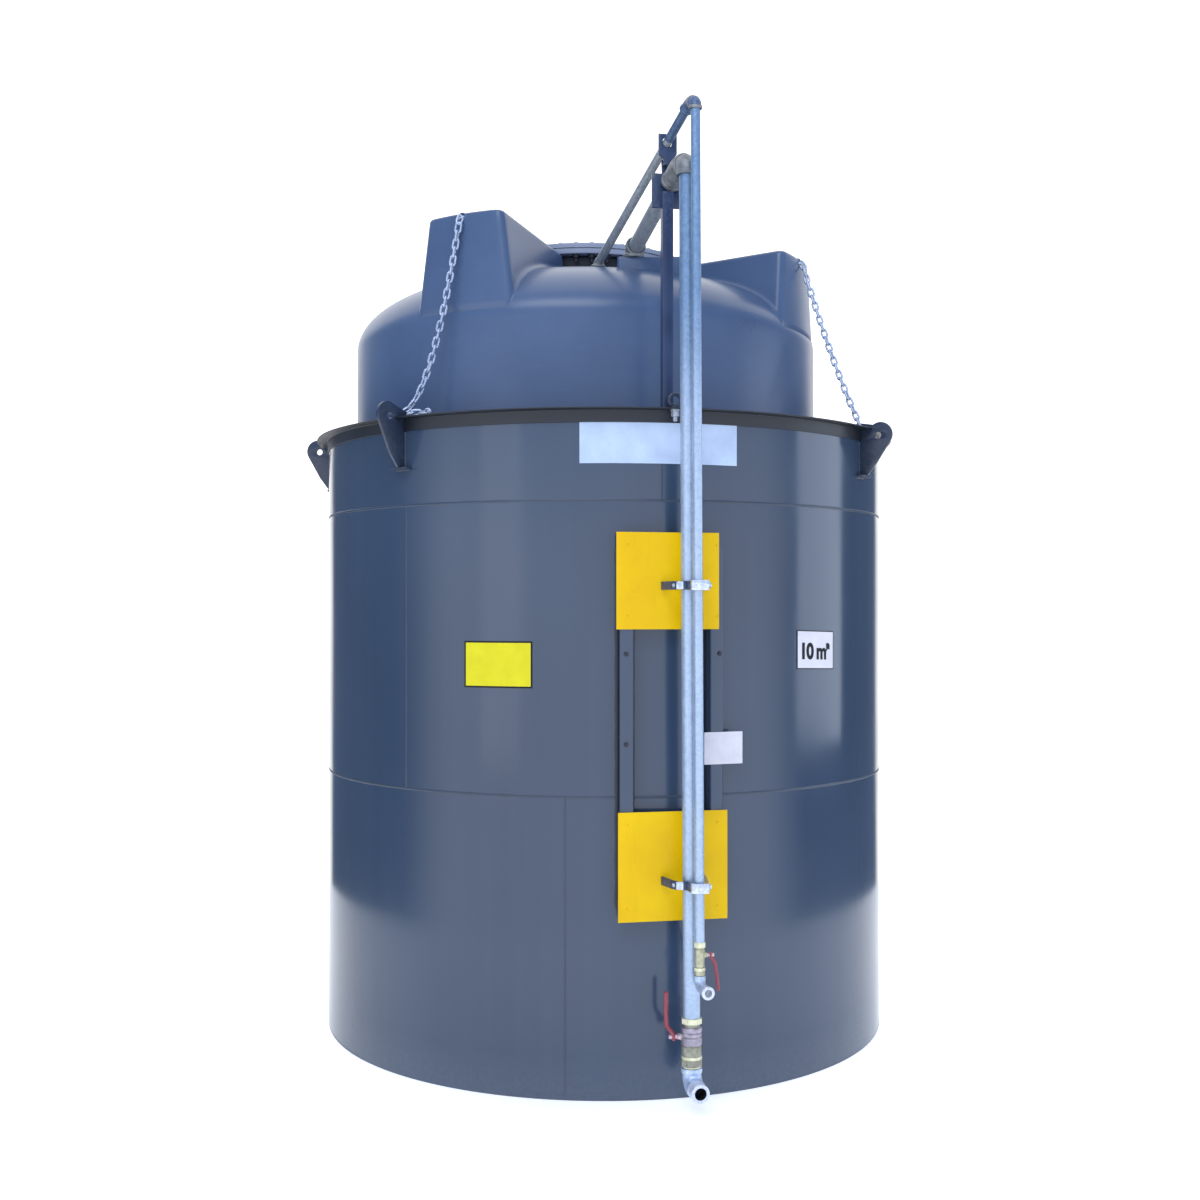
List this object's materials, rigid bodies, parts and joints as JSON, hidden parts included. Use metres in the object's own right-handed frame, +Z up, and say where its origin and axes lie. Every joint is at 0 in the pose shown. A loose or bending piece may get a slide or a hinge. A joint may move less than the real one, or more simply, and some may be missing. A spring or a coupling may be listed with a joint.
{
  "type": "bunded vertical oil storage tank",
  "caption": "Moulded plastic oil tank standing in an open welded steel bund, tied down by chains, with two galvanised fill lines and quarter-turn valves at the front.",
  "frame": {"origin": "centre of the bund's underside, on the ground", "axes": "+Z up, -Y towards the front, where the pipes and valves are, +X to the right seen from the front"},
  "size_m": [2.5884, 2.7175, 3.566],
  "materials": {
    "bund_steel": "glossy dark blue-grey enamel on rolled steel plate",
    "rim_steel": "semi-gloss dark enamel",
    "lug_steel": "semi-gloss dark enamel",
    "tank_plastic": "satin rotomoulded polyethylene, blue-grey",
    "lid_plastic": "satin moulded polyethylene",
    "chain_zinc": "bright galvanised short-link chain",
    "pipe_zinc": "hot-dip galvanised",
    "post_steel": "dark blue enamel",
    "rail_steel": "dark blue-grey enamel",
    "yellow_paint": "yellow enamel on flat sheet",
    "clamp_zinc": "galvanised strap on a painted arm",
    "valve_brass": "dull nickel-plated brass",
    "lever_red": "red plastic-dipped steel",
    "elbow_zinc": "galvanised malleable iron"
  },
  "bodies": {
    "tank": {"bund_floor": "bund_steel", "bund_lower_course_left": "bund_steel", "bund_lower_course_right": "bund_steel", "bund_middle_course_left": "bund_steel", "bund_middle_course_right": "bund_steel", "bund_upper_course_left": "bund_steel", "bund_upper_course_right": "bund_steel", "bund_rim": "rim_steel", "lifting_lug_1": "lug_steel", "lifting_lug_2": "lug_steel", "lifting_lug_3": "lug_steel", "rim_eye_bolt": "lug_steel", "chain_lug_1": "lug_steel", "chain_lug_2": "lug_steel", "chain_lug_3": "lug_steel", "tank_floor": "tank_plastic", "tank_wall_front": "tank_plastic", "tank_wall_right": "tank_plastic", "tank_wall_left": "tank_plastic", "tank_roof": "tank_plastic", "tank_ear_1": "tank_plastic", "tank_ear_2": "tank_plastic", "tank_ear_3": "tank_plastic", "manway_neck": "tank_plastic", "manway_lid": "lid_plastic", "pipe_pad": "tank_plastic", "tie_chain_1": "chain_zinc", "tie_chain_2": "chain_zinc", "tie_chain_3": "chain_zinc", "pipe_post": "post_steel", "large_pipe": "pipe_zinc", "small_pipe": "pipe_zinc", "panel_rail_left": "rail_steel", "panel_rail_right": "rail_steel", "upper_plate": "yellow_paint", "lower_plate": "yellow_paint", "upper_pipe_clamp": "clamp_zinc", "lower_pipe_clamp": "clamp_zinc", "large_valve": "valve_brass", "small_valve": "valve_brass", "large_outlet": "elbow_zinc", "small_outlet": "elbow_zinc"},
    "large_lever": {"large_valve_lever": "lever_red"},
    "small_lever": {"small_valve_lever": "lever_red"}
  },
  "joints": [
    {"name": "large_valve_turn", "type": "hinge", "parent": "tank", "child": "large_lever", "pos_m": [0.309, -1.289, 0.259], "axis": [1, 0, 0], "range_deg": [0, 90]},
    {"name": "small_valve_turn", "type": "hinge", "parent": "tank", "child": "small_lever", "pos_m": [0.333, -1.354, 0.563], "axis": [-1, 0, 0], "range_deg": [0, 90]}
  ]
}
